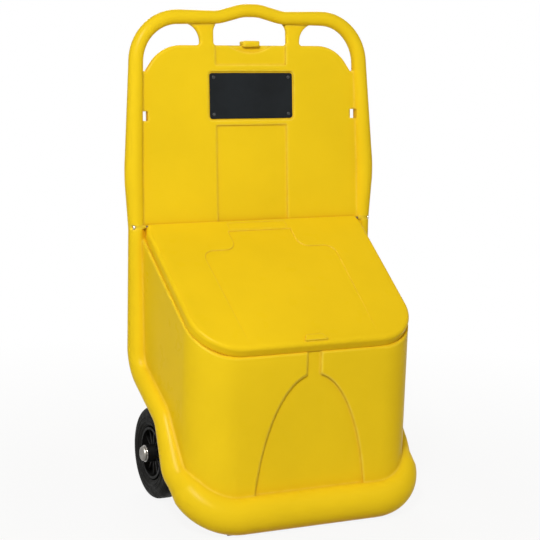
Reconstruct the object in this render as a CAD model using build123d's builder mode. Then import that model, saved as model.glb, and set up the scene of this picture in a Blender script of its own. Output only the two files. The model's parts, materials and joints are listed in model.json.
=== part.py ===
from build123d import *
import os
from math import cos, radians, sin, sqrt, tan

# Grit salt cart, millimetres. +Z up, the front faces -Y, origin on the ground under the middle of the cart.

# Overall sizes
overall_height = 1018.0
overall_depth = 412.0
wheel_radius = 95.5
panel_lean = 5.48
lid_slope = 33.7
running_gap = 0.3

# Reference places
front_y = -overall_depth / 2
axle_y = overall_depth / 2 - wheel_radius
panel_ahead_of_axle = 42.6
panel_foot_y = axle_y - panel_ahead_of_axle

# Round rail: radii from the handle down to the bumper
handle_radius = 13.6
shoulder_radius = 15.0
hip_radius = 18.7
waist_radius = 16.1
sweep_radius = 24.3
ankle_radius = 30.6
bumper_radius = 37.5

# Round rail: corners of its middle line on one side
handle_flat_x = 18.4
handle_dip_x = 72.2
handle_dip = 14.4
shoulder_x = 251.7
hip_x = 265.6
hip_z = 674.9
waist_x = 260.3
waist_below_hinge = 4.7
waist_behind_axle = 18.7
knee_x = 251.3
knee_z = 280.5
knee_behind_axle = 10.9
shin_x = 247.0
shin_z = 204.5
shin_share = 0.437
ankle_x = 246.4
ankle_z = 107.2
ankle_share = 0.67
corner_x = 216.0
rail_behind_panel = 1.5
cove_reach = 8.0
cove_height = 7.0
cove_slant = 55.0
cove_over_hinge = 20.0

# Round rail: bend radii
wave_bend = 90.0
shoulder_bend = 93.0
hip_bend = 400.0
waist_bend = 150.0
knee_bend = 68.6
shin_bend = 61.4
ankle_bend = 67.2
corner_bend = 88.6

# Back panel
panel_thickness = 12.0
panel_foot_z = 500.0
panel_top_below_handle = 84.5
panel_edge_round = 4.0
post_inner_x = 83.5
post_width = 30.0
post_top_share = 0.84
post_foot_share = 0.15
grip_side_share = 0.5
grip_corner_share = 0.76
grip_bite = 2.0
side_grip_tip_inset = 11.0
side_grip_tip_below_panel_top = 62.0
side_grip_tip_round = 4.0
panel_corner_inset = 42.0
panel_corner_round = 80.0
recess_half_width = 80.4
recess_depth = 3.0
upper_recess_foot_below_panel_top = 40.0
lower_recess_top_below_panel_top = 164.0
scoop_half_width = 49.0
scoop_height = 15.0
scoop_depth = 3.0
stop_width = 37.0
stop_depth = 23.0
stop_ahead_of_panel = 5.0
stop_rise = 3.0
stop_height = 12.5
stop_round = 3.0
slot_width = 14.0
slot_height = 19.0
slot_x = 239.0
slot_below_panel_top = 143.0

# Label plate and its seat
plate_width = 189.0
plate_height = 94.0
plate_thickness = 1.5
plate_round = 6.0
plate_below_panel_top = 103.0
plate_margin = 3.5
plate_seat_depth = 2.5
rivet_inset = 9.0
rivet_head_radius = 3.4
rivet_head_height = 1.3
rivet_round_share = 0.7
rivet_shank_radius = 1.6
rivet_shank_length = 8.0
rivet_clearance = 0.05

# Hopper
rim_behind_bumper = 33.0
hopper_draft = 0.4
hopper_front_half_width = 244.0
hopper_side_taper = 0.025
hopper_corner_round = 86.0
wall = 6.0
back_wall_behind_panel_foot = 62.4
back_ledge_below_hinge = 15.0
back_ledge_round = 8.0
back_land = 14.0
pocket_inner_x = 170.0
tunnel_radius = 24.0
hump_height_over_axle = 36.0
hump_foot_ahead_of_axle = 78.0
hump_top_ahead_of_axle = 48.0
arch_half_width = 125.0
arch_height = 312.0
arch_neck_half_width = 15.5
arch_depth = 5.0
rim_round = 2.5

# Lid and hinge
hinge_z = 569.2
hinge_ahead_of_panel = 5.1
hinge_rod_radius = 2.5
hinge_running_clearance = 0.06
hinge_fixed_clearance = 0.02
lid_over_hinge = 4.1
lid_thickness = 22.0
lid_skin = 4.5
lid_skirt = 5.5
lid_edge_round = 8.0
lid_inset = 3.0
lid_beside_rail = 13.8
lid_side_taper = 0.013
lid_corner_round = 96.0
lid_rear_gap = 0.5
lid_notch_width = 3.6
lid_notch_length = 20.0
hinge_lug_in_lid = 1.6
lid_bead = 16.0
lid_recess_depth = 2.2
lid_recess_neck_half_width = 72.0
lid_recess_half_width = 150.0
lid_recess_front_half_width = 142.0
lid_recess_top = 27.0
lid_recess_shoulder = 82.0
lid_recess_round = 24.0
lid_recess_front_margin = 8.0
strip_half_width = 66.0
strip_top = 3.0
strip_height = 19.0
strip_depth = 0.8
tab_width = 50.0
tab_reach = 15.0
tab_height = 4.5
tab_front_margin = 7.0
tab_slant = 7.0
tab_round = 5.0
rod_cap_radius = 4.2
rod_cap_height = 3.5
rod_cap_skin = 1.3
rod_seat_depth = 2.0

# Wheels and axle
axle_radius = 10.0
axle_clearance = 0.05
tyre_width = 45.0
tyre_inner_radius = 54.0
tyre_shoulder_round = 13.6
tyre_bead_round = 4.0
tyre_ring_radius = 1.2
tyre_ring_shares = (0.28, 0.5)
washer_thickness = 2.0
washer_radius = 17.0
boss_inner_overhang = 13.5
boss_outer_overhang = 9.0
boss_wall = 5.0
hub_rim_thickness = 5.0
hub_rim_inset = 2.5
hub_fit_gap = 0.1
spoke_count = 12
spoke_thickness = 4.0
spoke_inset = 9.0
bush_wall = 3.0
bush_fit_gap = 0.02
cap_radius = 15.5
cap_height = 7.0
cap_grip_length = 3.5

os.makedirs("parts", exist_ok=True)


def panel_y(z):
    """Depth of the panel's front face at a height."""
    return panel_foot_y + z * tan(radians(panel_lean))


def up(z):
    """Distance up the leaning panel that reaches a height."""
    return z / cos(radians(panel_lean))


def tube(points, bends, radii):
    """Round rail along straight runs and tangent bends; it tapers along the runs only."""
    corners = [Vector(point) for point in points]
    with BuildPart() as rail:
        start = corners[0]
        for i in range(1, len(corners)):
            along = (corners[i] - corners[i - 1]).normalized()
            end = corners[i]
            last = i == len(corners) - 1
            if not last:
                onward = (corners[i + 1] - corners[i]).normalized()
                turn = along.get_angle(onward)
                setback = bends[i - 1] * tan(radians(turn) / 2)
                end = corners[i] - along * setback
            run = (end - start).length
            with Locations(Plane(origin=start, z_dir=along)):
                if radii[i - 1] == radii[i]:
                    Cylinder(radii[i], run, align=(Align.CENTER, Align.CENTER, Align.MIN))
                else:
                    Cone(radii[i - 1], radii[i], run, align=(Align.CENTER, Align.CENTER, Align.MIN))
            if not last:
                hinge_line = along.cross(onward).normalized()
                middle = end + hinge_line.cross(along) * bends[i - 1]
                with BuildSketch(Plane(origin=end, z_dir=along)):
                    Circle(radii[i])
                revolve(axis=Axis(middle, hinge_line), revolution_arc=turn)
                start = corners[i] + onward * setback
    return rail.part


# Planes and places that several pieces share
panel_plane = Plane(
    origin=(0, panel_foot_y, 0),
    x_dir=(1, 0, 0),
    z_dir=(0, -cos(radians(panel_lean)), sin(radians(panel_lean))),
)
panel_axis = Axis(panel_plane.origin, panel_plane.z_dir)
bumper_y = front_y + bumper_radius
rim_front_y = front_y + rim_behind_bumper
back_wall_y = panel_foot_y + back_wall_behind_panel_foot
panel_top_z = overall_height - panel_top_below_handle
handle_z = overall_height - handle_radius
shoulder_z = handle_z - handle_dip
plate_z = panel_top_z - plate_below_panel_top
hinge_y = panel_y(hinge_z) - hinge_ahead_of_panel
slope_sin = sin(radians(lid_slope))
slope_cos = cos(radians(lid_slope))
lid_plane = Plane(
    origin=(0, hinge_y - lid_over_hinge * slope_sin, hinge_z + lid_over_hinge * slope_cos),
    x_dir=(1, 0, 0),
    z_dir=(0, -slope_sin, slope_cos),
)
lid_overhang = (lid_thickness - lid_over_hinge) * slope_sin
lid_reach = (hinge_y - rim_front_y - lid_inset + lid_overhang) / slope_cos
rim_plane = lid_plane.offset(-lid_thickness - running_gap)
lid_nose = (hinge_ahead_of_panel - lid_rear_gap) * cos(radians(panel_lean))
draft_share = tan(radians(hopper_draft))
lid_rear_half_width = waist_x - lid_beside_rail
rim_front_z = rim_plane.origin.Z - (rim_plane.origin.Y - rim_front_y) * tan(radians(lid_slope))
hopper_front_y = rim_front_y + rim_front_z * draft_share
front_plane = Plane(
    origin=(0, hopper_front_y, 0),
    x_dir=(1, 0, 0),
    z_dir=(0, -cos(radians(hopper_draft)), -sin(radians(hopper_draft))),
)
axle_line = Axis((0, axle_y, wheel_radius), (1, 0, 0))
back_ledge_z = hinge_z - back_ledge_below_hinge
waist_y = axle_y + waist_behind_axle
waist_z = hinge_z - waist_below_hinge
rail_over_hinge = sqrt(
    waist_radius**2 - (waist_y - hinge_y) ** 2 - waist_below_hinge**2
)
rod_seat_x = waist_x + rail_over_hinge - rod_seat_depth
rod_half_length = rod_seat_x + rod_cap_height - rod_cap_skin
rivet_span_x = plate_width - 2 * rivet_inset
rivet_span_z = plate_height - 2 * rivet_inset
plate_plane = Plane(
    origin=panel_plane.from_local_coords(Vector(0, up(plate_z), 0)),
    x_dir=panel_plane.x_dir,
    z_dir=panel_plane.z_dir,
)


def rail_corner(x, z):
    """Corner of the rail's middle line beside the panel."""
    return (x, panel_y(z) + rail_behind_panel, z)


rail_points = [
    rail_corner(0, handle_z),
    rail_corner(handle_flat_x, handle_z),
    rail_corner(handle_dip_x, shoulder_z),
    rail_corner(shoulder_x, shoulder_z),
    rail_corner(hip_x, hip_z),
    (waist_x, waist_y, waist_z),
    (knee_x, axle_y + knee_behind_axle, knee_z),
    (shin_x, axle_y + (bumper_y - axle_y) * shin_share, shin_z),
    (ankle_x, axle_y + (bumper_y - axle_y) * ankle_share, ankle_z),
    (corner_x, bumper_y, bumper_radius),
    (0, bumper_y, bumper_radius),
]
rail_bends = [
    wave_bend,
    wave_bend,
    shoulder_bend,
    hip_bend,
    waist_bend,
    knee_bend,
    shin_bend,
    ankle_bend,
    corner_bend,
]
rail_radii = [
    handle_radius,
    handle_radius,
    handle_radius,
    shoulder_radius,
    hip_radius,
    waist_radius,
    sweep_radius,
    sweep_radius,
    ankle_radius,
    bumper_radius,
    bumper_radius,
]
right_rail = tube(rail_points, rail_bends, rail_radii)


def hopper_outline(inset, rear_y):
    """Plan of the hopper's foot: sides that draw in towards a front with round corners."""
    draw_in = inset + rim_front_z * draft_share
    front = rim_front_y + draw_in
    front_half = hopper_front_half_width - draw_in
    rear_half = front_half + (rear_y - front) * hopper_side_taper
    with BuildSketch() as plan:
        with BuildLine():
            Polyline(
                (-rear_half, rear_y),
                (-front_half, front),
                (front_half, front),
                (rear_half, rear_y),
                close=True,
            )
        make_face()
        fillet(plan.vertices().group_by(Axis.Y)[0], hopper_corner_round - draw_in)
    return plan.sketch


def pocket_profile(margin):
    """Side view of a wheel pocket: all that lies under and behind the sweep of the rail."""
    knee_y, shin_y, ankle_y = (point[1] for point in rail_points[6:9])
    below = -overall_height / 10
    behind = overall_depth
    with BuildSketch() as side:
        with BuildLine():
            FilletPolyline(
                (behind, below),
                (behind, knee_z),
                (knee_y, knee_z),
                (shin_y, shin_z),
                (ankle_y, ankle_z),
                (bumper_y, bumper_radius),
                (bumper_y, below),
                radius=(0, knee_bend, shin_bend, ankle_bend, 0, 0, 0),
                close=True,
            )
        make_face()
        if margin:
            offset(amount=margin)
    return side.sketch


# Space inside the hopper, down to the floor and over the hump of the axle tunnel
with BuildPart() as hopper_space:
    land_y = panel_y(hinge_z) - back_land
    space_front_y = hopper_front_y + arch_depth + wall
    with BuildSketch(Plane.YZ):
        with BuildLine():
            Polyline(
                (space_front_y, wall),
                (axle_y - hump_foot_ahead_of_axle, wall),
                (axle_y - hump_top_ahead_of_axle, wheel_radius + hump_height_over_axle),
                (land_y, wheel_radius + hump_height_over_axle),
                (land_y, overall_height),
                (space_front_y - overall_height * draft_share, overall_height),
                close=True,
            )
        make_face()
    extrude(amount=overall_depth, both=True)
    with BuildSketch():
        add(hopper_outline(wall, land_y))
    extrude(amount=overall_height, taper=-hopper_draft, mode=Mode.INTERSECT)
    with BuildSketch(Plane.YZ.offset(pocket_inner_x - wall)):
        add(pocket_profile(wall))
    extrude(amount=overall_depth, mode=Mode.SUBTRACT)
    with BuildSketch(Plane.YZ.offset(wall - pocket_inner_x)):
        add(pocket_profile(wall))
    extrude(amount=-overall_depth, mode=Mode.SUBTRACT)

# Hopper block under the sloping rim, with the wheel pockets and the front arch cut in
with BuildPart() as hopper_solid:
    with BuildSketch():
        add(hopper_outline(0, back_wall_y))
    extrude(amount=back_ledge_z, taper=-hopper_draft)
    fillet(hopper_solid.edges().filter_by(Axis.X).sort_by(Axis.Y)[-1], back_ledge_round)
    split(bisect_by=rim_plane, keep=Keep.BOTTOM)
    rim_face = hopper_solid.faces().filter_by(rim_plane).sort_by(Axis.Z)[-1]
    fillet(rim_face.edges().sort_by(Axis.Y)[:-1], rim_round)
    with BuildSketch(Plane.YZ.offset(pocket_inner_x)):
        add(pocket_profile(0))
    extrude(amount=overall_depth, mode=Mode.SUBTRACT)
    with BuildSketch(Plane.YZ.offset(-pocket_inner_x)):
        add(pocket_profile(0))
    extrude(amount=-overall_depth, mode=Mode.SUBTRACT)
    with BuildSketch(front_plane):
        Ellipse(arch_half_width, arch_height)
        Rectangle(2 * arch_neck_half_width, back_ledge_z, align=(Align.CENTER, Align.MIN))
    extrude(amount=-arch_depth, mode=Mode.SUBTRACT)
hopper_block = hopper_solid.part

# Block on the panel's top edge that stops the open lid
with BuildPart() as lid_stop:
    with BuildSketch(panel_plane.offset(stop_ahead_of_panel - stop_depth)):
        with Locations((0, up(panel_top_z) + stop_rise)):
            Rectangle(stop_width, stop_height)
    extrude(amount=stop_depth)
    fillet(lid_stop.edges(), stop_round)


def rail_side(z):
    """Middle and radius of the straight rail beside the panel at a height."""
    if z > hip_z:
        share = (z - hip_z) / (shoulder_z - hip_z)
        return hip_x + (shoulder_x - hip_x) * share, hip_radius + (shoulder_radius - hip_radius) * share
    share = (hip_z - z) / (hip_z - waist_z)
    return hip_x + (waist_x - hip_x) * share, hip_radius + (waist_radius - hip_radius) * share


# Slanted cove between the panel and the rail
with BuildPart() as rail_cove:
    cove_heights = (hinge_z + cove_over_hinge, hip_z, panel_top_z - side_grip_tip_below_panel_top)
    cove_middles = [rail_side(z) for z in cove_heights]
    with BuildSketch(panel_plane):
        with BuildLine():
            inner = [(x - r - cove_reach, up(z)) for (x, r), z in zip(cove_middles, cove_heights)]
            outer = [(x, up(z)) for (x, r), z in zip(cove_middles, cove_heights)]
            Polyline(*inner, *reversed(outer), close=True)
        make_face()
    extrude(amount=cove_height, taper=cove_slant)

# Moulded body: panel with its grips, hopper, rail and bumper in one piece
with BuildPart() as body_shell:
    # Panel and hand posts, from the hopper up to the handle's middle line
    with BuildSketch(panel_plane.offset(-panel_thickness)):
        with BuildLine():
            FilletPolyline(
                (waist_x, up(panel_foot_z)),
                (waist_x, up(waist_z)),
                (hip_x, up(hip_z)),
                (shoulder_x, up(shoulder_z)),
                (handle_dip_x, up(shoulder_z)),
                (handle_flat_x, up(handle_z)),
                (-handle_flat_x, up(handle_z)),
                (-handle_dip_x, up(shoulder_z)),
                (-shoulder_x, up(shoulder_z)),
                (-hip_x, up(hip_z)),
                (-waist_x, up(waist_z)),
                (-waist_x, up(panel_foot_z)),
                radius=(
                    0,
                    waist_bend,
                    hip_bend,
                    shoulder_bend,
                    wave_bend,
                    wave_bend,
                    wave_bend,
                    wave_bend,
                    shoulder_bend,
                    hip_bend,
                    waist_bend,
                    0,
                ),
                close=True,
            )
        make_face()
    extrude(amount=panel_thickness)

    # Middle grip under the wave of the handle and the two side grips
    with BuildSketch(panel_plane.offset(-panel_thickness)):
        grip_top = up(handle_z - handle_radius + grip_bite)
        grip_shoulder = up(shoulder_z - handle_radius + grip_bite)
        panel_top = up(panel_top_z)
        grip_height = grip_shoulder - panel_top
        post_foot_round = grip_height * post_foot_share
        grip_side_round = grip_height * grip_side_share
        post_outer_x = post_inner_x + post_width
        tip_x = shoulder_x - side_grip_tip_inset
        tip_height = panel_top - side_grip_tip_below_panel_top
        with BuildLine():
            FilletPolyline(
                (-handle_flat_x, grip_top),
                (handle_flat_x, grip_top),
                (post_inner_x, grip_shoulder),
                (post_inner_x, panel_top),
                (-post_inner_x, panel_top),
                (-post_inner_x, grip_shoulder),
                radius=(
                    wave_bend,
                    wave_bend,
                    grip_side_round,
                    post_foot_round,
                    post_foot_round,
                    grip_side_round,
                ),
                close=True,
            )
        make_face()
        with BuildLine():
            FilletPolyline(
                (tip_x, tip_height),
                (tip_x, grip_shoulder),
                (post_outer_x, grip_shoulder),
                (post_outer_x, panel_top),
                (tip_x - panel_corner_inset, panel_top),
                radius=(
                    side_grip_tip_round,
                    (grip_shoulder - tip_height) * grip_corner_share,
                    grip_height * post_top_share,
                    post_foot_round,
                    panel_corner_round,
                ),
                close=True,
            )
        side_grip = make_face()
        mirror(side_grip, about=Plane.YZ)
    extrude(amount=panel_thickness, mode=Mode.SUBTRACT)
    panel_faces = body_shell.faces().filter_by(panel_plane)
    grip_rims = [wire for face in panel_faces for wire in face.inner_wires()]
    fillet([edge for wire in grip_rims for edge in wire.edges()], panel_edge_round)

    # Label seat, the recesses above and below it and the scoop in the panel's top edge
    with BuildSketch(plate_plane):
        RectangleRounded(
            plate_width + 2 * plate_margin,
            plate_height + 2 * plate_margin,
            plate_round + plate_margin,
        )
    extrude(amount=-plate_seat_depth, mode=Mode.SUBTRACT)
    with BuildSketch(panel_plane):
        upper_foot = panel_top - upper_recess_foot_below_panel_top
        with Locations((0, upper_foot)):
            Rectangle(
                2 * recess_half_width,
                grip_shoulder - upper_foot,
                align=(Align.CENTER, Align.MIN),
            )
        lower_top = panel_top - lower_recess_top_below_panel_top
        with Locations((0, lower_top)):
            Rectangle(
                2 * recess_half_width,
                lower_top - up(back_ledge_z),
                align=(Align.CENTER, Align.MAX),
            )
    extrude(amount=-recess_depth, mode=Mode.SUBTRACT)
    with BuildSketch(panel_plane.offset(-recess_depth)):
        scoop_radius = (scoop_half_width**2 + scoop_height**2) / (2 * scoop_height)
        with Locations((0, panel_top - scoop_height + scoop_radius)):
            Circle(scoop_radius)
    extrude(amount=-scoop_depth, mode=Mode.SUBTRACT)

    # Round rail and bumper
    add(rail_cove.part)
    mirror(rail_cove.part, about=Plane.YZ)
    add(right_rail)
    mirror(right_rail, about=Plane.YZ)

    # Stop for the open lid in the middle of the panel's top edge
    add(lid_stop.part)

    # Slots through the panel beside the rail
    with BuildSketch(panel_plane.offset(-2 * hip_radius)):
        slot_middle = panel_top - slot_below_panel_top
        with Locations((slot_x, slot_middle), (-slot_x, slot_middle)):
            Rectangle(slot_width, slot_height)
    extrude(amount=4 * hip_radius, mode=Mode.SUBTRACT)

    # Hopper with its wheel pockets, front arch and axle tunnel
    add(hopper_block)
    with Locations(Location((0, axle_y, wheel_radius), (0, 90, 0))):
        Cylinder(tunnel_radius, 2 * pocket_inner_x)
    add(hopper_space.part, mode=Mode.SUBTRACT)

    # Lugs that carry the hinge rod from the rail to the lid's ends
    lug_start = lid_rear_half_width - hinge_lug_in_lid
    for direction in (-1, 1):
        with Locations(Location((direction * lug_start, hinge_y, hinge_z), (0, direction * 90, 0))):
            Cylinder(
                lid_nose - running_gap,
                waist_x - lug_start,
                align=(Align.CENTER, Align.CENTER, Align.MIN),
            )

    # Bores for the axle, the hinge rod with its cap seats and the rivets
    with Locations(Location((0, axle_y, wheel_radius), (0, 90, 0))):
        Cylinder(axle_radius + axle_clearance, overall_height, mode=Mode.SUBTRACT)
    with Locations(Location((0, hinge_y, hinge_z), (0, 90, 0))):
        Cylinder(hinge_rod_radius + hinge_fixed_clearance, overall_height, mode=Mode.SUBTRACT)
    for direction in (-1, 1):
        with Locations(Location((direction * rod_seat_x, hinge_y, hinge_z), (0, direction * 90, 0))):
            Cylinder(
                rod_cap_radius + running_gap,
                waist_radius,
                align=(Align.CENTER, Align.CENTER, Align.MIN),
                mode=Mode.SUBTRACT,
            )
    with BuildSketch(plate_plane):
        with GridLocations(rivet_span_x, rivet_span_z, 2, 2):
            Circle(rivet_shank_radius + rivet_clearance)
    extrude(amount=-plate_seat_depth - rivet_shank_length, mode=Mode.SUBTRACT)
body_shell.part.label = "body_shell"
export_step(body_shell.part, "parts/body_shell.step")

# Lid: sloping tray with a bead round the hinge rod at its rear edge
def lid_point(along, above):
    """Depth and height of a point given along the lid's top face and square to it."""
    origin = lid_plane.origin
    return (
        origin.Y + along * slope_cos - above * slope_sin,
        origin.Z + along * slope_sin + above * slope_cos,
    )


def lid_outline(inset, rear):
    """Lid from above, square to its top face."""
    front = inset - lid_reach
    front_half = lid_rear_half_width - inset - lid_reach * lid_side_taper
    rear_half = front_half + (rear - front) * lid_side_taper
    with BuildSketch() as plan:
        with BuildLine():
            Polyline(
                (-rear_half, rear),
                (-front_half, front),
                (front_half, front),
                (rear_half, rear),
                close=True,
            )
        make_face()
        fillet(plan.vertices().group_by(Axis.Y)[0], lid_corner_round - inset)
    return plan.sketch


with BuildPart() as lid_recess:
    recess_front = lid_recess_front_margin - lid_reach
    recess_tilt = lid_recess_depth / (-lid_recess_top - recess_front)
    with BuildSketch(lid_plane):
        with BuildLine():
            FilletPolyline(
                (lid_recess_front_half_width, recess_front),
                (lid_recess_half_width, -lid_recess_shoulder),
                (lid_recess_neck_half_width, -lid_recess_shoulder),
                (lid_recess_neck_half_width, -lid_recess_top),
                (-lid_recess_neck_half_width, -lid_recess_top),
                (-lid_recess_neck_half_width, -lid_recess_shoulder),
                (-lid_recess_half_width, -lid_recess_shoulder),
                (-lid_recess_front_half_width, recess_front),
                radius=(0, lid_recess_round, lid_recess_round, 0, 0, lid_recess_round, lid_recess_round, 0),
                close=True,
            )
        make_face()
    extrude(amount=lid_thickness, both=True)
    recess_floor = Plane(
        origin=lid_plane.from_local_coords(Vector(0, recess_front, 0)),
        x_dir=(1, 0, 0),
        z_dir=lid_plane.z_dir + lid_plane.y_dir * recess_tilt,
    )
    split(bisect_by=recess_floor, keep=Keep.TOP)

with BuildPart() as lid:
    lean_sin = sin(radians(panel_lean))
    lean_cos = cos(radians(panel_lean))
    nose_middle = Vector(hinge_y, hinge_z)
    nose_run = sqrt(lid_nose**2 - lid_over_hinge**2)
    nose_top = Vector(*lid_point(nose_run, 0))
    nose_rear = nose_middle + Vector(lean_cos, -lean_sin) * lid_nose
    nose_bulge = nose_middle + ((nose_top + nose_rear) / 2 - nose_middle).normalized() * lid_nose
    rear_up = Vector(lean_sin, lean_cos)
    lid_normal = Vector(-slope_sin, slope_cos)
    lid_under = Vector(*lid_point(0, -lid_thickness))
    rear_drop = (nose_rear - lid_under).dot(lid_normal) / rear_up.dot(lid_normal)
    with BuildSketch(Plane.YZ):
        with BuildLine():
            ThreePointArc(nose_top, nose_bulge, nose_rear)
            Polyline(
                nose_rear,
                nose_rear - rear_up * rear_drop,
                lid_point(-2 * lid_reach, -lid_thickness),
                lid_point(-2 * lid_reach, 0),
                nose_top,
            )
        make_face()
    extrude(amount=overall_depth, both=True)
    with BuildSketch(lid_plane.offset(lid_thickness)):
        add(lid_outline(0, lid_thickness))
    extrude(amount=-3 * lid_thickness, mode=Mode.INTERSECT)
    with BuildSketch(lid_plane.offset(lid_thickness)):
        with BuildLine():
            Polyline(
                (lid_rear_half_width + lid_notch_width, lid_thickness),
                (lid_rear_half_width - lid_notch_width, lid_thickness),
                (lid_rear_half_width - lid_notch_width, 0),
                (lid_rear_half_width, -lid_notch_length),
                (lid_rear_half_width + lid_notch_width, -lid_notch_length),
                close=True,
            )
        mirror(make_face(), about=Plane.YZ)
    extrude(amount=-3 * lid_thickness, mode=Mode.SUBTRACT)
    top_face = lid.faces().filter_by(lid_plane).sort_by(Axis.Z)[-1]
    fillet(top_face.edges().sort_by(Axis.Y)[:-1], lid_edge_round)
    with BuildSketch(lid_plane.offset(-lid_thickness)):
        add(lid_outline(lid_skirt, -lid_bead))
    extrude(amount=lid_thickness - lid_skin, mode=Mode.SUBTRACT)
    add(lid_recess.part, mode=Mode.SUBTRACT)
    with BuildSketch(lid_plane):
        with Locations((0, -strip_top - strip_height / 2)):
            RectangleRounded(2 * strip_half_width, strip_height, strip_height / 6)
    extrude(amount=-strip_depth, mode=Mode.SUBTRACT)
    with BuildSketch(lid_plane.offset(-lid_skin / 2)):
        tab_front = tab_front_margin - lid_reach
        with BuildLine():
            FilletPolyline(
                (-tab_width / 2, tab_front),
                (tab_width / 2, tab_front),
                (tab_width / 2 - tab_slant, tab_front + tab_reach),
                (tab_slant - tab_width / 2, tab_front + tab_reach),
                radius=(0, 0, tab_round, tab_round),
                close=True,
            )
        make_face()
    extrude(amount=lid_skin / 2 + tab_height)
    with Locations(Location((0, hinge_y, hinge_z), (0, 90, 0))):
        Cylinder(hinge_rod_radius + hinge_running_clearance, overall_height, mode=Mode.SUBTRACT)
lid.part.label = "lid"
export_step(lid.part, "parts/lid.step")

# Hinge rod through both rails and the lid
with BuildPart() as hinge_rod:
    with Locations(Location((0, hinge_y, hinge_z), (0, 90, 0))):
        Cylinder(hinge_rod_radius, 2 * rod_half_length)
hinge_rod.part.label = "hinge_rod"
export_step(hinge_rod.part, "parts/hinge_rod.step")

# Label plate in its seat, held by four rivets
with BuildPart() as label_plate:
    with BuildSketch(plate_plane.offset(-plate_seat_depth)):
        RectangleRounded(plate_width, plate_height, plate_round)
        with GridLocations(rivet_span_x, rivet_span_z, 2, 2):
            Circle(rivet_shank_radius + rivet_clearance, mode=Mode.SUBTRACT)
    extrude(amount=plate_thickness)
label_plate.part.label = "label_plate"
export_step(label_plate.part, "parts/label_plate.step")

with BuildPart() as plate_rivets:
    head_foot = plate_thickness - plate_seat_depth
    with BuildSketch(plate_plane.offset(head_foot)):
        with GridLocations(rivet_span_x, rivet_span_z, 2, 2):
            Circle(rivet_shank_radius)
    extrude(amount=-rivet_shank_length)
    with BuildSketch(plate_plane.offset(head_foot)):
        with GridLocations(rivet_span_x, rivet_span_z, 2, 2):
            Circle(rivet_head_radius)
    extrude(amount=rivet_head_height)
    head_tops = plate_rivets.faces().filter_by(panel_plane).group_by(panel_axis)[-1]
    fillet(head_tops.edges(), rivet_head_height * rivet_round_share)
plate_rivets.part.label = "plate_rivets"
export_step(plate_rivets.part, "parts/plate_rivets.step")

# Axle across the cart through the moulded tunnel
boss_inner_x = pocket_inner_x + washer_thickness + running_gap
tyre_inner_x = boss_inner_x + boss_inner_overhang
tyre_outer_x = tyre_inner_x + tyre_width
boss_outer_x = tyre_outer_x + boss_outer_overhang
outer_washer_x = boss_outer_x + running_gap
cap_x = outer_washer_x + washer_thickness
with BuildPart() as axle:
    with Locations(Location((0, axle_y, wheel_radius), (0, 90, 0))):
        Cylinder(axle_radius, 2 * (cap_x + cap_grip_length))
axle.part.label = "axle"
export_step(axle.part, "parts/axle.step")

bush_radius = axle_radius + axle_clearance + bush_wall
hub_bore_radius = bush_radius + bush_fit_gap
hub_boss_radius = hub_bore_radius + boss_wall
hub_radius = tyre_inner_radius - hub_fit_gap
rim_inner_radius = hub_radius - hub_rim_thickness


def washer(side_plane, start):
    """Plain washer on the axle."""
    with BuildPart() as ring:
        with BuildSketch(side_plane):
            with Locations((start, axle_radius + axle_clearance)):
                Rectangle(
                    washer_thickness,
                    washer_radius - axle_radius - axle_clearance,
                    align=(Align.MIN, Align.MIN),
                )
        revolve(axis=axle_line)
    return ring.part


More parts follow.
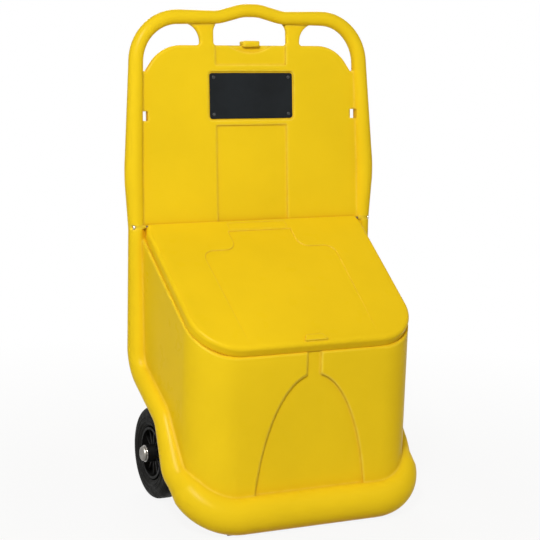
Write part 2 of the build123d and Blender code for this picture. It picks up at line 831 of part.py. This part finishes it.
# Wheels, washers and caps on both sides
for side, outward in (("left", -1), ("right", 1)):
    side_plane = Plane(origin=axle_line.position, x_dir=(outward, 0, 0), z_dir=(0, -outward, 0))

    with BuildPart() as tyre:
        with BuildSketch(side_plane) as tyre_profile:
            with Locations((tyre_inner_x, tyre_inner_radius)):
                Rectangle(tyre_width, wheel_radius - tyre_inner_radius, align=(Align.MIN, Align.MIN))
            corners = tyre_profile.vertices().group_by(Axis.Z)
            fillet(corners[-1], tyre_shoulder_round)
            fillet(corners[0], tyre_bead_round)
            for share in tyre_ring_shares:
                ring_height = tyre_inner_radius + share * (wheel_radius - tyre_inner_radius)
                with Locations((tyre_inner_x, ring_height), (tyre_outer_x, ring_height)):
                    Circle(tyre_ring_radius)
        revolve(axis=axle_line)
    tyre.part.label = side + "_tyre"
    export_step(tyre.part, "parts/" + side + "_tyre.step")

    with BuildPart() as wheel_hub:
        with BuildSketch(side_plane):
            with Locations((boss_inner_x, hub_bore_radius)):
                Rectangle(boss_outer_x - boss_inner_x, boss_wall, align=(Align.MIN, Align.MIN))
            with Locations((tyre_inner_x + hub_rim_inset, rim_inner_radius)):
                Rectangle(tyre_width - 2 * hub_rim_inset, hub_rim_thickness, align=(Align.MIN, Align.MIN))
        revolve(axis=axle_line)
        spoke_plane = Plane(
            origin=(outward * (tyre_inner_x + tyre_width / 2), axle_y, wheel_radius),
            x_dir=(0, 1, 0),
            z_dir=(1, 0, 0),
        )
        with BuildSketch(spoke_plane):
            with PolarLocations((hub_boss_radius + rim_inner_radius) / 2, spoke_count):
                Rectangle(rim_inner_radius - hub_boss_radius + boss_wall, spoke_thickness)
        extrude(amount=tyre_width / 2 - spoke_inset, both=True)
    wheel_hub.part.label = side + "_wheel_hub"
    export_step(wheel_hub.part, "parts/" + side + "_wheel_hub.step")

    with BuildPart() as axle_bush:
        with BuildSketch(side_plane):
            with Locations((boss_inner_x, axle_radius + axle_clearance)):
                Rectangle(boss_outer_x - boss_inner_x, bush_wall, align=(Align.MIN, Align.MIN))
        revolve(axis=axle_line)
    axle_bush.part.label = side + "_axle_bush"
    export_step(axle_bush.part, "parts/" + side + "_axle_bush.step")

    inner_washer = washer(side_plane, pocket_inner_x)
    inner_washer.label = side + "_inner_washer"
    export_step(inner_washer, "parts/" + side + "_inner_washer.step")

    outer_washer = washer(side_plane, outer_washer_x)
    outer_washer.label = side + "_outer_washer"
    export_step(outer_washer, "parts/" + side + "_outer_washer.step")

    with BuildPart() as axle_cap:
        with BuildSketch(side_plane):
            with BuildLine():
                Polyline((cap_x + cap_height, 0), (cap_x + cap_grip_length, 0))
                Polyline(
                    (cap_x + cap_grip_length, 0),
                    (cap_x + cap_grip_length, axle_radius + axle_clearance),
                    (cap_x, axle_radius + axle_clearance),
                    (cap_x, cap_radius),
                    (cap_x + cap_grip_length / 2, cap_radius),
                )
                Spline(
                    (cap_x + cap_grip_length / 2, cap_radius),
                    (cap_x + cap_height, 0),
                    tangents=((1, 0), (0, -1)),
                )
            make_face()
        revolve(axis=axle_line)
    axle_cap.part.label = side + "_axle_cap"
    export_step(axle_cap.part, "parts/" + side + "_axle_cap.step")

    with BuildPart() as rod_cap:
        with Locations(Location((outward * rod_seat_x, hinge_y, hinge_z), (0, outward * 90, 0))):
            Cylinder(rod_cap_radius, rod_cap_height, align=(Align.CENTER, Align.CENTER, Align.MIN))
        outer_rim = rod_cap.edges().sort_by(Axis.X)[-1 if outward > 0 else 0]
        fillet(outer_rim, rod_cap_skin)
        with Locations(Location((0, hinge_y, hinge_z), (0, 90, 0))):
            Cylinder(hinge_rod_radius + hinge_fixed_clearance, 2 * rod_half_length, mode=Mode.SUBTRACT)
    rod_cap.part.label = side + "_rod_cap"
    export_step(rod_cap.part, "parts/" + side + "_rod_cap.step")
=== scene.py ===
import json
from math import radians

import bpy
from mathutils import Matrix, Vector

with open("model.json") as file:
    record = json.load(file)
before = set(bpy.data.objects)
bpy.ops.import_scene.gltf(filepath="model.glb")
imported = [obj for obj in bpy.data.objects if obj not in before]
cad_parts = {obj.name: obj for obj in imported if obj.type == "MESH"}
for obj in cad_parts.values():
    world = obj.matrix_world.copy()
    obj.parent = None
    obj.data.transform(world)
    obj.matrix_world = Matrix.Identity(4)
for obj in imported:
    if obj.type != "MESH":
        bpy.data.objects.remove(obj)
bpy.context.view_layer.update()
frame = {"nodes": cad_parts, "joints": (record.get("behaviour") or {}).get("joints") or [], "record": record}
nodes = frame["nodes"]
joints = {joint["name"]: joint for joint in frame["joints"]}

# Camera of the photograph: place in metres, angles in degrees, lens and sensor in millimetres
camera_place = (-1.4884, -2.9854, 1.0867)
camera_yaw = 26.21
camera_pitch = -10.18
camera_roll = 1.63
camera_lens = 111.06
camera_sensor = 36.0
level_angle = 90.0

# Colours as linear light
body_yellow = (0.87, 0.615, 0.014)
lid_yellow = (0.87, 0.605, 0.012)
# Painted highlight: outer edges turn this paler yellow
edge_highlight_yellow = (1.0, 0.76, 0.09)
# Painted shade: creases and gaps turn this darker orange
crease_shade_orange = (0.74, 0.4, 0.006)
plate_dark = (0.0055, 0.0075, 0.0095)
rivet_dark = (0.016, 0.018, 0.02)
rubber_dark = (0.0045, 0.0045, 0.0036)
hub_dark = (0.005, 0.005, 0.005)
steel_grey = (0.52, 0.5, 0.47)
cap_grey = (0.21, 0.2, 0.18)
# Hinge rod: dark brown, painted shade for the gap between rail and lid where it shows
rod_shade_brown = (0.16, 0.12, 0.08)
bush_grey = (0.24, 0.24, 0.24)
floor_pale = (0.5, 0.5, 0.5)
warm_white = (1.0, 0.8, 0.5)
plain_white = (1.0, 1.0, 1.0)

# Radius at which the shading rounds each kind of edge, in metres
body_edge = 0.009
lid_edge = 0.003
plate_edge = 0.0008
tyre_edge = 0.0015
hub_edge = 0.0012
steel_edge = 0.0008

# Specular level of each surface; 0.5 is ordinary plastic
yellow_specular = 0.02
plate_specular = 0.14
rivet_specular = 0.5
rubber_specular = 0.1
hub_specular = 0.06

# Range of roughness of the three steels, from their smoothest to their dullest spots
plated_rough = (0.25, 0.42)
cap_rough = (0.32, 0.5)
rod_rough = (0.4, 0.6)

# Painted light on the yellow plastic: reach in metres of the painted shade in a crease, strength of its
# darker orange tint, and the least and most of the painted highlight that pales an outer edge
crease_shade_reach = 0.022
crease_shade_strength = 0.7
edge_highlight_least = 0.4
edge_highlight_most = 0.75

# An edge, which gets the painted highlight, shows where the plain and the rounded normal agree less;
# a crease, which gets the painted shade, where less of the space around is open
flat_agreement = 0.995
edge_agreement = 0.9
crease_openness = 0.3
open_openness = 0.92
shading_samples = 8

# Rings of the tyres: phase in radians per metre of radius, and depth in metres
ring_phase = 1900.0
ring_depth = 0.0005

# Colour sockets of the Mix node, by number because their names repeat
mix_first = 6
mix_second = 7
mix_result = 2

# Octaves of detail in noise, where a material asks for no more
plain_detail = 2.0

# Floor: size and the distances between which it turns fully pale, in metres
floor_size = 30.0
floor_roughness = 0.8
floor_near = 0.5
floor_far = 1.6
floor_near_paleness = 0.9

# Light: strength of the surround, and name, place, size and power of the lamps,
# in metres and watts; the last value tells whether a lamp acts on gloss alone
surround_strength = 0.27
cart_middle = (0.0, 0.0, 0.5)
lamps = (
    ("key", (-1.35, -2.03, 2.22), 0.4, 58.5, False),
    ("side", (-2.4, -0.2, 1.0), 1.2, 6.0, False),
    ("fill", (1.9, -1.6, 2.2), 1.6, 9.0, False),
    ("shine", (-1.7, -1.7, 2.8), 0.5, 280.0, True),
    ("back", (0.8, 2.6, 1.8), 1.6, 36.0, False),
)


def tone(colour, factor=1.0):
    """The colour with its light scaled, as red, green, blue and alpha."""
    return tuple(part * factor for part in colour) + (1.0,)


class Shader:
    """Node material with one Principled shader, built up by short calls."""

    def __init__(self, name):
        self.material = bpy.data.materials.new(name)
        self.material.use_nodes = True
        self.tree = self.material.node_tree
        self.surface = self.tree.nodes["Principled BSDF"]
        self.coordinates = self.node("ShaderNodeTexCoord").outputs["Object"]

    def node(self, kind, settings=None, **inputs):
        """New node; inputs go by their names, with underscores for spaces."""
        made = self.tree.nodes.new(kind)
        for key, value in (settings or {}).items():
            setattr(made, key, value)
        for key, value in inputs.items():
            self.feed(made.inputs[key.replace("_", " ")], value)
        return made

    def feed(self, socket, value):
        """Links another node's output to the socket, or sets a plain value on it."""
        if isinstance(value, bpy.types.NodeSocket):
            self.tree.links.new(value, socket)
        else:
            socket.default_value = value

    def set(self, name, value):
        self.feed(self.surface.inputs[name], value)

    def noise(self, scale, detail=plain_detail):
        made = self.node(
            "ShaderNodeTexNoise", Vector=self.coordinates, Scale=scale, Detail=detail
        )
        return made.outputs["Fac"]

    def math(self, operation, first, second=0.0):
        made = self.node("ShaderNodeMath", {"operation": operation})
        self.feed(made.inputs[0], first)
        self.feed(made.inputs[1], second)
        return made.outputs[0]

    def spread(self, value, low, high, start=0.35, end=0.65):
        """Maps start to low and end to high; most noise lies between the usual two."""
        made = self.node(
            "ShaderNodeMapRange",
            Value=value,
            From_Min=start,
            From_Max=end,
            To_Min=low,
            To_Max=high,
        )
        return made.outputs["Result"]

    def blend(self, share, first, second):
        """The first colour at share zero, the second at one."""
        made = self.node("ShaderNodeMix", {"data_type": "RGBA"})
        self.feed(made.inputs["Factor"], share)
        self.feed(made.inputs[mix_first], first)
        self.feed(made.inputs[mix_second], second)
        return made.outputs[mix_result]

    def clouded(self, colour, scale, detail, dark, light, **ends):
        """The colour in soft clouds, between two factors of its light."""
        clouds = self.spread(self.noise(scale, detail), 0.0, 1.0, **ends)
        return self.blend(clouds, tone(colour, dark), tone(colour, light))

    def roughen(self, scale, low, high, detail=plain_detail):
        self.set("Roughness", self.spread(self.noise(scale, detail), low, high))

    def bump(self, height, depth, strength, normal=None):
        made = self.node("ShaderNodeBump", Strength=strength, Distance=depth, Height=height)
        if normal:
            self.feed(made.inputs["Normal"], normal)
        return made.outputs["Normal"]

    def grain(self, scale, depth, strength, normal=None, detail=plain_detail):
        """Finishes the surface's normal with a fine grain."""
        self.set("Normal", self.bump(self.noise(scale, detail), depth, strength, normal))

    def soft_normal(self, radius):
        made = self.node("ShaderNodeBevel", {"samples": shading_samples}, Radius=radius)
        return made.outputs["Normal"]

    def edge_share(self, soft_normal):
        """Zero on flat ground, one on a sharp edge."""
        plain = self.node("ShaderNodeNewGeometry").outputs["Normal"]
        made = self.node("ShaderNodeVectorMath", {"operation": "DOT_PRODUCT"})
        self.feed(made.inputs[0], plain)
        self.feed(made.inputs[1], soft_normal)
        return self.spread(made.outputs["Value"], 0.0, 1.0, flat_agreement, edge_agreement)

    def crease_share(self, reach):
        """Zero in the open, one deep in a crease or a gap."""
        settings = {"samples": shading_samples}
        made = self.node("ShaderNodeAmbientOcclusion", settings, Distance=reach)
        return self.spread(made.outputs["AO"], 1.0, 0.0, crease_openness, open_openness)


def moulded_plastic(name, colour, edge):
    """Satin polyethylene: painted shade, darker and more orange, in creases, painted highlights on outer
    edges, orange peel and fine grain.
    """
    skin = Shader(name)
    tint = skin.clouded(colour, scale=5.0, detail=3.0, dark=0.96, light=1.02)
    # Painted shade: creases and gaps blend toward a darker orange
    crease = skin.crease_share(crease_shade_reach)
    tint = skin.blend(
        skin.math("MULTIPLY", crease, crease_shade_strength), tint, tone(crease_shade_orange)
    )
    soft = skin.soft_normal(edge)
    # Painted highlight: outer edges away from creases blend toward a paler yellow, varied by noise
    outside = skin.math("SUBTRACT", 1.0, crease)
    outer_edge = skin.math("MULTIPLY", skin.edge_share(soft), outside)
    edge_highlight_noise = skin.spread(skin.noise(scale=60.0), edge_highlight_least, edge_highlight_most)
    painted_edge_highlight = skin.math("MULTIPLY", outer_edge, edge_highlight_noise)
    skin.set("Base Color", skin.blend(painted_edge_highlight, tint, tone(edge_highlight_yellow)))
    skin.roughen(scale=30.0, detail=4.0, low=0.27, high=0.34)
    skin.set("Specular IOR Level", yellow_specular)
    peel = skin.bump(skin.noise(scale=160.0), depth=0.0006, strength=0.25, normal=soft)
    skin.grain(scale=900.0, depth=0.00015, strength=0.25, normal=peel)
    return skin.material


def dark_lacquer(name, colour, specular):
    """Semi-matt lacquer with a fine grain."""
    skin = Shader(name)
    tint = skin.clouded(colour, scale=14.0, detail=3.0, dark=0.8, light=1.35)
    skin.set("Base Color", tint)
    skin.roughen(scale=120.0, detail=4.0, low=0.28, high=0.42)
    skin.set("Specular IOR Level", specular)
    soft = skin.soft_normal(plate_edge)
    skin.grain(scale=1400.0, depth=0.0001, strength=0.3, normal=soft)
    return skin.material


def rubber(name, colour, axle_back, axle_rise):
    """Matt rubber with fine rings around the axle."""
    skin = Shader(name)
    tint = skin.clouded(colour, scale=18.0, detail=4.0, dark=0.9, light=1.25)
    skin.set("Base Color", tint)
    skin.roughen(scale=90.0, detail=4.0, low=0.55, high=0.75)
    skin.set("Specular IOR Level", rubber_specular)
    split = skin.node("ShaderNodeSeparateXYZ", Vector=skin.coordinates)
    back = skin.math("SUBTRACT", split.outputs["Y"], axle_back)
    rise = skin.math("SUBTRACT", split.outputs["Z"], axle_rise)
    back_square = skin.math("MULTIPLY", back, back)
    rise_square = skin.math("MULTIPLY", rise, rise)
    radius = skin.math("SQRT", skin.math("ADD", back_square, rise_square))
    rings = skin.math("SINE", skin.math("MULTIPLY", radius, ring_phase))
    soft = skin.soft_normal(tyre_edge)
    grooved = skin.bump(rings, depth=ring_depth, strength=0.6, normal=soft)
    skin.grain(scale=1100.0, detail=3.0, depth=0.0002, strength=0.4, normal=grooved)
    return skin.material


def hub_plastic(name, colour):
    """Black moulded plastic, a little dusty."""
    skin = Shader(name)
    dusty = skin.clouded(
        colour, scale=45.0, detail=5.0, dark=1.0, light=2.2, start=0.45, end=0.75
    )
    skin.set("Base Color", dusty)
    skin.roughen(scale=80.0, detail=3.0, low=0.38, high=0.55)
    skin.set("Specular IOR Level", hub_specular)
    soft = skin.soft_normal(hub_edge)
    skin.grain(scale=700.0, depth=0.0002, strength=0.35, normal=soft)
    return skin.material


def metal(name, colour, rough):
    """Steel with clouded plating and a fine grain."""
    skin = Shader(name)
    tint = skin.clouded(colour, scale=70.0, detail=4.0, dark=0.82, light=1.12)
    skin.set("Base Color", tint)
    skin.set("Metallic", 1.0)
    skin.roughen(scale=260.0, detail=4.0, low=rough[0], high=rough[1])
    soft = skin.soft_normal(steel_edge)
    skin.grain(scale=1500.0, detail=3.0, depth=0.0001, strength=0.3, normal=soft)
    return skin.material


def bearing_plastic(name, colour):
    """Plain plastic with a faint grain."""
    skin = Shader(name)
    tint = skin.clouded(colour, scale=60.0, detail=3.0, dark=0.85, light=1.1)
    skin.set("Base Color", tint)
    skin.roughen(scale=200.0, low=0.4, high=0.55)
    skin.grain(scale=900.0, depth=0.0001, strength=0.3)
    return skin.material


def dress(node_name, material):
    """Gives the piece this one material."""
    slots = nodes[node_name].data.materials
    slots.clear()
    slots.append(material)


def seen_share(tree):
    """One for what the camera, gloss or glass sees, zero for other rays."""
    path = tree.nodes.new("ShaderNodeLightPath")
    seen = path.outputs["Is Camera Ray"]
    for kind in ("Is Glossy Ray", "Is Transmission Ray"):
        either = tree.nodes.new("ShaderNodeMath")
        either.operation = "MAXIMUM"
        tree.links.new(seen, either.inputs[0])
        tree.links.new(path.outputs[kind], either.inputs[1])
        seen = either.outputs[0]
    return seen


def pale_floor():
    """Floor that stays pale to the camera and still takes the shadow."""
    bpy.ops.mesh.primitive_plane_add(size=floor_size, location=(0, 0, 0))
    floor = bpy.context.object
    floor.name = "floor"
    ground = Shader("floor_pale")
    tint = ground.clouded(floor_pale, scale=3.0, detail=3.0, dark=0.98, light=1.0)
    ground.set("Base Color", tint)
    ground.set("Roughness", floor_roughness)
    away = ground.node("ShaderNodeVectorMath", {"operation": "LENGTH"})
    ground.feed(away.inputs[0], ground.coordinates)
    paleness = ground.spread(
        away.outputs["Value"], floor_near_paleness, 1.0, floor_near, floor_far
    )
    glow = ground.node("ShaderNodeEmission", Strength=1.0)
    mix = ground.node("ShaderNodeMixShader")
    ground.feed(mix.inputs["Fac"], ground.math("MULTIPLY", seen_share(ground.tree), paleness))
    ground.feed(mix.inputs[1], ground.surface.outputs[0])
    ground.feed(mix.inputs[2], glow.outputs[0])
    ground.feed(ground.tree.nodes["Material Output"].inputs["Surface"], mix.outputs[0])
    floor.data.materials.append(ground.material)


def studio_world(strength):
    """Even soft surround, a little warm; the camera, gloss and glass see it as white."""
    world = bpy.data.worlds.new("studio")
    bpy.context.scene.world = world
    world.use_nodes = True
    tree = world.node_tree
    seen = seen_share(tree)
    level = tree.nodes.new("ShaderNodeMapRange")
    level.inputs["To Min"].default_value = strength
    level.inputs["To Max"].default_value = 1.0
    tint = tree.nodes.new("ShaderNodeMix")
    tint.data_type = "RGBA"
    tint.inputs[mix_first].default_value = tone(warm_white)
    tint.inputs[mix_second].default_value = tone(plain_white)
    sky = tree.nodes["Background"]
    tree.links.new(seen, level.inputs["Value"])
    tree.links.new(seen, tint.inputs["Factor"])
    tree.links.new(tint.outputs[mix_result], sky.inputs["Color"])
    tree.links.new(level.outputs["Result"], sky.inputs["Strength"])


def soft_lamp(name, place, size, power, gloss_only):
    """Square lamp aimed at the cart; one for gloss alone adds highlights and no other light."""
    data = bpy.data.lights.new(name, "AREA")
    data.energy = power
    data.size = size
    lamp = bpy.data.objects.new(name, data)
    bpy.context.scene.collection.objects.link(lamp)
    direction = Vector(cart_middle) - Vector(place)
    lamp.rotation_euler = direction.to_track_quat("-Z", "Y").to_euler()
    lamp.location = place
    lamp.visible_diffuse = not gloss_only


def photo_camera():
    """Camera at the photograph's place and angle."""
    data = bpy.data.cameras.new("photo_camera")
    data.lens = camera_lens
    data.sensor_width = camera_sensor
    camera = bpy.data.objects.new("photo_camera", data)
    bpy.context.scene.collection.objects.link(camera)
    camera.matrix_world = (
        Matrix.Translation(camera_place)
        @ Matrix.Rotation(radians(-camera_yaw), 4, "Z")
        @ Matrix.Rotation(radians(level_angle + camera_pitch), 4, "X")
        @ Matrix.Rotation(radians(camera_roll), 4, "Z")
    )
    bpy.context.scene.camera = camera


# Materials by the slots that the record names; the hinge rod is a duller steel in dark brown, painted shade
# of the gap where it shows
_, axle_back, axle_rise = joints["left_wheel_spin"]["pos_m"]
looks = {
    "body_yellow": moulded_plastic("body_yellow_plastic", body_yellow, body_edge),
    "lid_yellow": moulded_plastic("lid_yellow_plastic", lid_yellow, lid_edge),
    "plate_dark": dark_lacquer("plate_dark_lacquer", plate_dark, plate_specular),
    "rivet_dark": dark_lacquer("rivet_dark_lacquer", rivet_dark, rivet_specular),
    "steel": metal("steel_plated", steel_grey, plated_rough),
    "cap_steel": metal("cap_steel_dull", cap_grey, cap_rough),
    "tyre_rubber": rubber("tyre_black_rubber", rubber_dark, axle_back, axle_rise),
    "hub_black": hub_plastic("hub_black_plastic", hub_dark),
    "bush_grey": bearing_plastic("bush_grey_plastic", bush_grey),
}
for subpart in frame["record"]["subparts"]:
    dress(subpart["node"], looks[subpart["material_slot"]])
dress("hinge_rod", metal("rod_steel_shade_brown", rod_shade_brown, rod_rough))

# Floor, light and camera
pale_floor()
studio_world(surround_strength)
for lamp_values in lamps:
    soft_lamp(*lamp_values)
photo_camera()
bpy.context.scene.view_settings.view_transform = "Standard"
